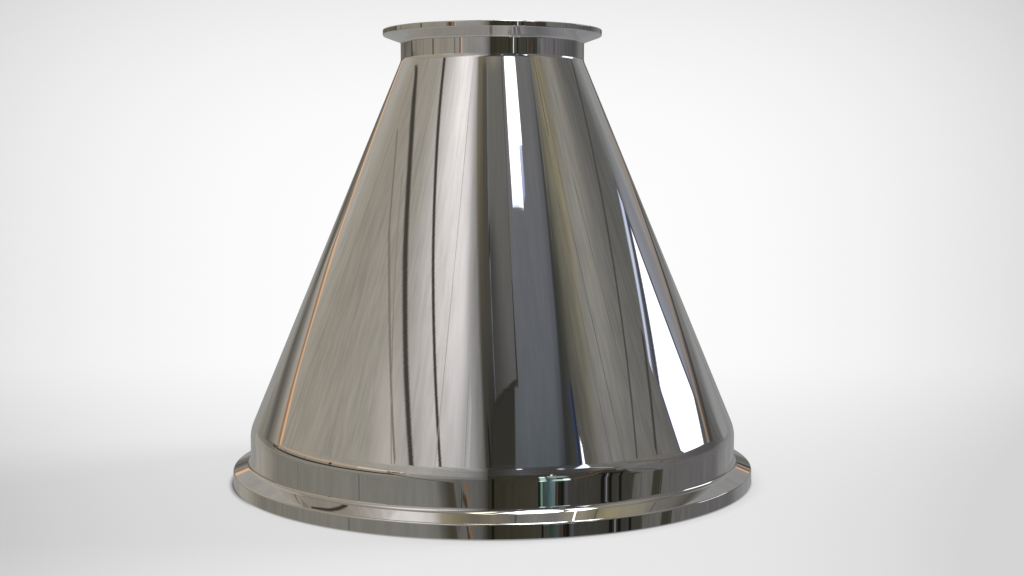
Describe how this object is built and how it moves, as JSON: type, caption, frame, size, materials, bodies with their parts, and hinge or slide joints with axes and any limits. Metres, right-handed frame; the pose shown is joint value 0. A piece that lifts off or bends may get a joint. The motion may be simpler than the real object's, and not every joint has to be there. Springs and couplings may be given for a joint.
{
  "type": "concentric pipe reducer",
  "caption": "Concentric pipe reducer: a hollow polished steel cone with a short straight tube and a bevelled, grooved clamp flange at each end, joining a wide pipe to a narrow one.",
  "frame": {"origin": "centre of the large end's sealing face, on which the reducer stands", "axes": "+Z along the flow axis, from the large end up to the small end; the part is round about Z, so X and Y are free"},
  "size_m": [0.2177, 0.2176, 0.1868],
  "materials": {
    "polished_steel": "mirror-polished stainless steel"
  },
  "bodies": {
    "root": {"reducer_body": "polished_steel"}
  },
  "joints": []
}
